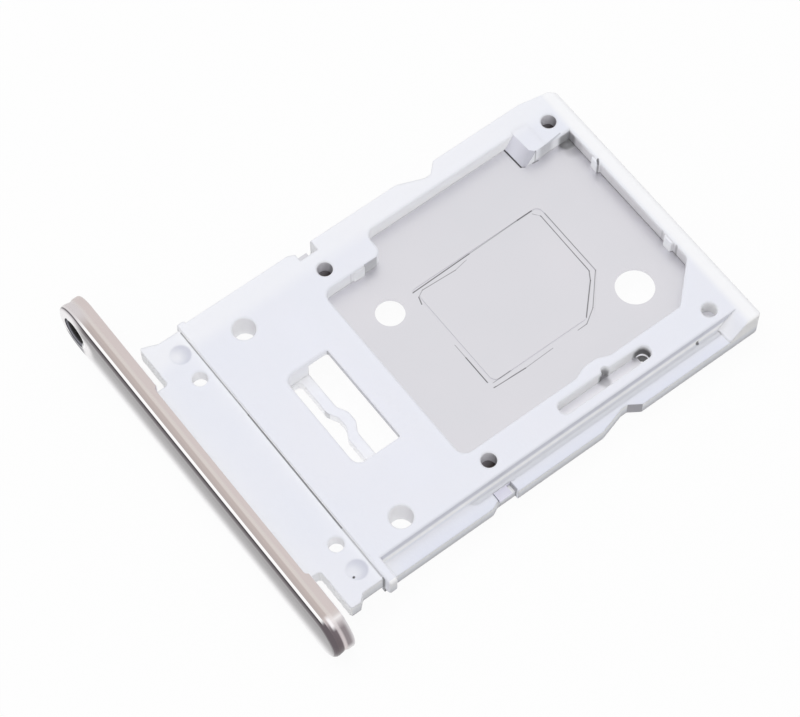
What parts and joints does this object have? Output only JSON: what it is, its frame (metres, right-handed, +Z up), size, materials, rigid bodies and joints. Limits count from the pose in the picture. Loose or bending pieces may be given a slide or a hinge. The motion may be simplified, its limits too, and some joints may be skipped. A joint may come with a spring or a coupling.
{
  "type": "sim card tray",
  "caption": "Flat double-sided card tray: polished metal front with an eject-pin hole, white moulded frame and a thin steel plate between an upper and a lower card pocket.",
  "frame": {"origin": "middle of the underside of the whole tray's box, on the surface that the tray lies on", "axes": "+X along the faceplate, away from the end with the eject-pin hole; +Y the way the tray goes into the phone; +Z up, out of the upper card pocket"},
  "size_m": [0.0184, 0.0218, 0.0024],
  "materials": {
    "front_metal": "champagne anodised, with a polished front rim",
    "sheet_metal": "fine satin sheet",
    "frame_plastic": "satin moulded, cool white"
  },
  "bodies": {
    "root": {"faceplate": "front_metal", "support_plate": "sheet_metal", "tray_frame": "frame_plastic"}
  },
  "joints": []
}
